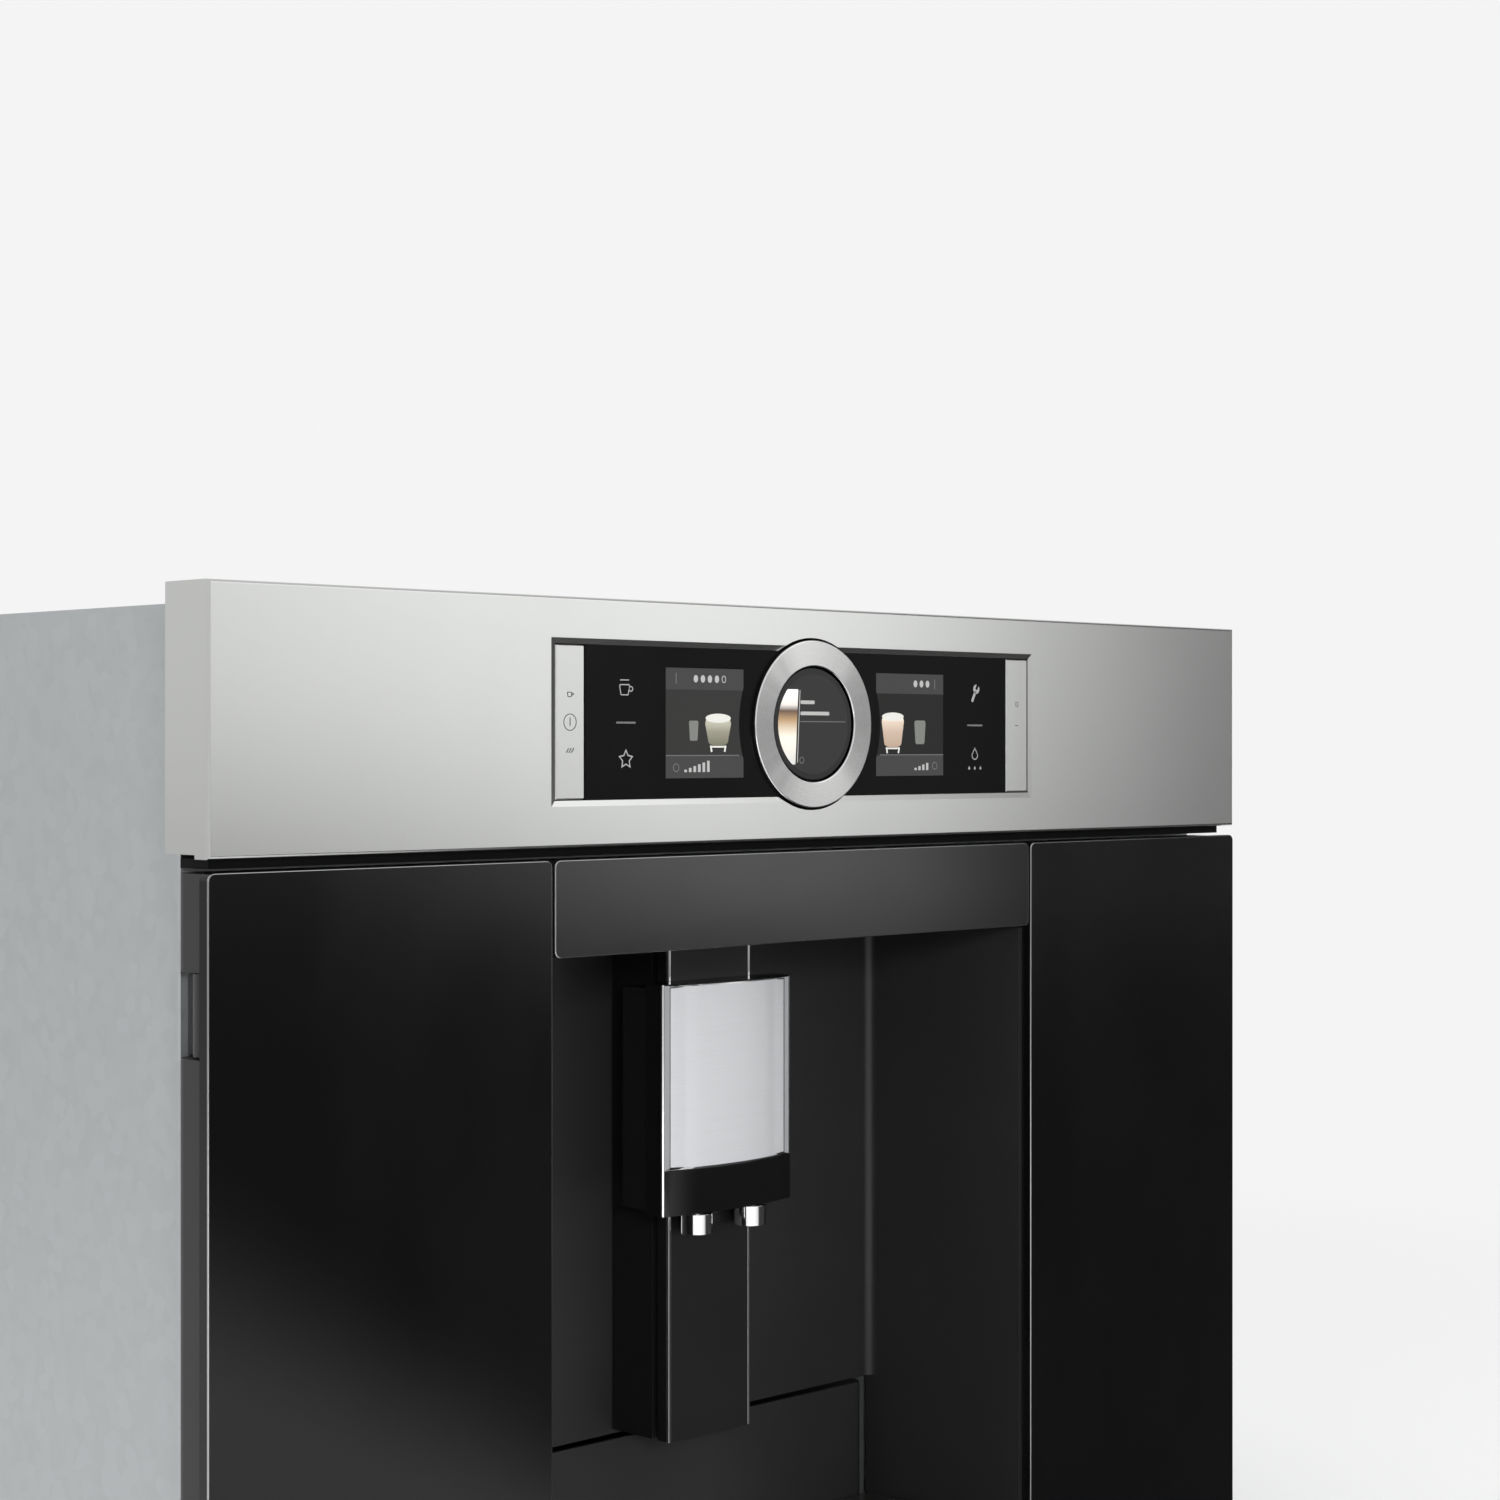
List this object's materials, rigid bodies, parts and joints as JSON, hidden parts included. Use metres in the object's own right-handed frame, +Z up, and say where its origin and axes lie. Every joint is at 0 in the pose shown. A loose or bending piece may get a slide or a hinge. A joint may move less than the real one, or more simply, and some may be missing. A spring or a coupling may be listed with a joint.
{
  "type": "built-in coffee machine",
  "caption": "Niche-built coffee machine with a stainless band, rotary control, black glass U-shaped door, dispensing bay, height-adjustable outlet, drip tray, water tank and bean hopper.",
  "frame": {"origin": "middle of the bounding box's underside, on the floor of the niche", "axes": "+X to the right seen from the front, +Y to the back of the niche, +Z up"},
  "size_m": [0.594, 0.385, 0.455],
  "materials": {
    "brushed_stainless": "fine horizontal brushing",
    "spun_ring": "spun, with a polished edge",
    "black_glass": "glossy, backed in black",
    "screen": "display behind a clear pane",
    "black_plastic": "fine moulded grain",
    "gloss_black": "high gloss",
    "grey_plastic": "satin moulding",
    "chrome_trim": "polished",
    "zinc_sheet": "galvanised sheet",
    "smoked_clear": "clear, lightly smoked",
    "hard_steel": "ground",
    "dark_metal": "satin enamel",
    "cast_aluminium": "as cast",
    "circuit_board": "solder mask",
    "inlet_black": "moulded",
    "hose_rubber": "silicone hose",
    "piston_plastic": "glass-filled moulding",
    "float_red": "coloured moulding"
  },
  "bodies": {
    "housing": {"base_pan": "zinc_sheet", "left_side_panel": "zinc_sheet", "right_side_panel": "zinc_sheet", "rear_panel": "zinc_sheet", "top_cover": "zinc_sheet", "housing_screws": "hard_steel", "front_frame": "zinc_sheet", "partitions": "zinc_sheet", "inner_shelves": "zinc_sheet", "fascia_panel": "brushed_stainless", "display_carrier": "black_plastic", "control_glass": "black_glass", "left_screen": "screen", "right_screen": "screen", "centre_display": "screen", "display_board": "circuit_board", "hinge_brackets": "zinc_sheet", "bay_liner": "black_plastic", "outlet_column": "black_plastic", "column_trims": "chrome_trim", "grinder_housing": "grey_plastic", "fixed_burr": "hard_steel", "grinder_motor": "dark_metal", "brew_cradle": "grey_plastic", "brew_drive": "grey_plastic", "grounds_chute": "black_plastic", "tank_seat": "grey_plastic", "water_pump": "dark_metal", "thermoblock": "cast_aluminium", "power_board": "circuit_board", "power_inlet": "inlet_black", "water_hoses": "hose_rubber"},
    "door": {"door_frame": "black_plastic", "door_back_cover": "black_plastic", "left_door_glass": "black_glass", "header_glass": "black_glass", "right_door_glass": "black_glass", "catch_magnets": "dark_metal"},
    "ring": {"control_ring": "spun_ring"},
    "left_key": {"left_key": "brushed_stainless"},
    "right_key": {"right_key": "brushed_stainless"},
    "outlet": {"outlet_carriage": "black_plastic", "milk_frother": "grey_plastic", "outlet_nozzles": "chrome_trim"},
    "outlet_cover": {"outlet_cover": "gloss_black", "outlet_plate": "brushed_stainless"},
    "tray": {"drip_tray": "black_plastic", "tray_front": "black_glass", "grounds_container": "black_plastic"},
    "grate": {"drip_grate": "brushed_stainless"},
    "float": {"level_float": "float_red"},
    "tank": {"water_tank": "smoked_clear"},
    "tank_lid": {"tank_lid": "smoked_clear"},
    "tank_handle": {"tank_handle": "grey_plastic"},
    "hopper": {"bean_hopper": "smoked_clear"},
    "hopper_lid": {"hopper_lid": "smoked_clear"},
    "grind_lever": {"grind_lever": "grey_plastic"},
    "burr": {"grinding_burr": "hard_steel"},
    "brew_unit": {"brew_unit": "grey_plastic"},
    "brew_piston": {"brew_piston": "piston_plastic"}
  },
  "joints": [
    {"name": "door_hinge", "type": "hinge", "parent": "housing", "child": "door", "pos_m": [-0.289, -0.179, 0.18], "axis": [0, 0, -1], "range_deg": [0, 105]},
    {"name": "tank_slide", "type": "slide", "parent": "housing", "child": "tank", "axis": [0, -1, 0], "range_m": [0, 0.12]},
    {"name": "hopper_slide", "type": "slide", "parent": "housing", "child": "hopper", "axis": [0, -1, 0], "range_m": [0, 0.083]},
    {"name": "brew_unit_slide", "type": "slide", "parent": "housing", "child": "brew_unit", "axis": [0, -1, 0], "range_m": [0, 0.083]},
    {"name": "tank_lid_hinge", "type": "hinge", "parent": "tank", "child": "tank_lid", "pos_m": [0.206, -0.0445, 0.2374], "axis": [-1, 0, 0], "range_deg": [0, 95]},
    {"name": "tank_handle_hinge", "type": "hinge", "parent": "tank", "child": "tank_handle", "pos_m": [0.206, -0.107, 0.238], "axis": [-1, 0, 0], "range_deg": [0, 90]},
    {"name": "hopper_lid_hinge", "type": "hinge", "parent": "hopper", "child": "hopper_lid", "pos_m": [-0.203, -0.1148, 0.3474], "axis": [-1, 0, 0], "range_deg": [0, 80]},
    {"name": "grind_lever_slide", "type": "slide", "parent": "housing", "child": "grind_lever", "axis": [1, 0, 0], "range_m": [-0.012, 0.012]},
    {"name": "burr_spin", "type": "hinge", "parent": "housing", "child": "burr", "pos_m": [-0.203, -0.081, 0.2541], "axis": [0, 0, 1], "continuous": true},
    {"name": "ring_turn", "type": "hinge", "parent": "housing", "child": "ring", "pos_m": [0, -0.191, 0.407], "axis": [0, -1, 0], "continuous": true},
    {"name": "left_key_press", "type": "slide", "parent": "housing", "child": "left_key", "axis": [0, 1, 0], "range_m": [0, 0.0008], "stiffness_N_per_m": 1500, "springref_m": -0.0004},
    {"name": "right_key_press", "type": "slide", "parent": "housing", "child": "right_key", "axis": [0, 1, 0], "range_m": [0, 0.0008], "stiffness_N_per_m": 1500, "springref_m": -0.0004},
    {"name": "outlet_slide", "type": "slide", "parent": "housing", "child": "outlet", "axis": [0, 0, 1], "range_m": [-0.085, 0]},
    {"name": "outlet_cover_pull", "type": "slide", "parent": "outlet", "child": "outlet_cover", "axis": [0, -1, 0], "range_m": [0, 0.03]},
    {"name": "tray_slide", "type": "slide", "parent": "housing", "child": "tray", "axis": [0, -1, 0], "range_m": [0, 0.2]},
    {"name": "grate_lift", "type": "slide", "parent": "tray", "child": "grate", "axis": [0, 0, 1], "range_m": [0, 0.01]},
    {"name": "float_rise", "type": "slide", "parent": "tray", "child": "float", "axis": [0, 0, 1], "range_m": [0, 0.006]},
    {"name": "piston_slide", "type": "slide", "parent": "brew_unit", "child": "brew_piston", "axis": [0, 0, 1], "range_m": [-0.025, 0.03]}
  ],
  "couplings": [
    {"joint": "tank_slide", "follows": "door_hinge", "m_per_rad": 0.065},
    {"joint": "hopper_slide", "follows": "door_hinge", "m_per_rad": 0.045},
    {"joint": "brew_unit_slide", "follows": "door_hinge", "m_per_rad": 0.045}
  ]
}
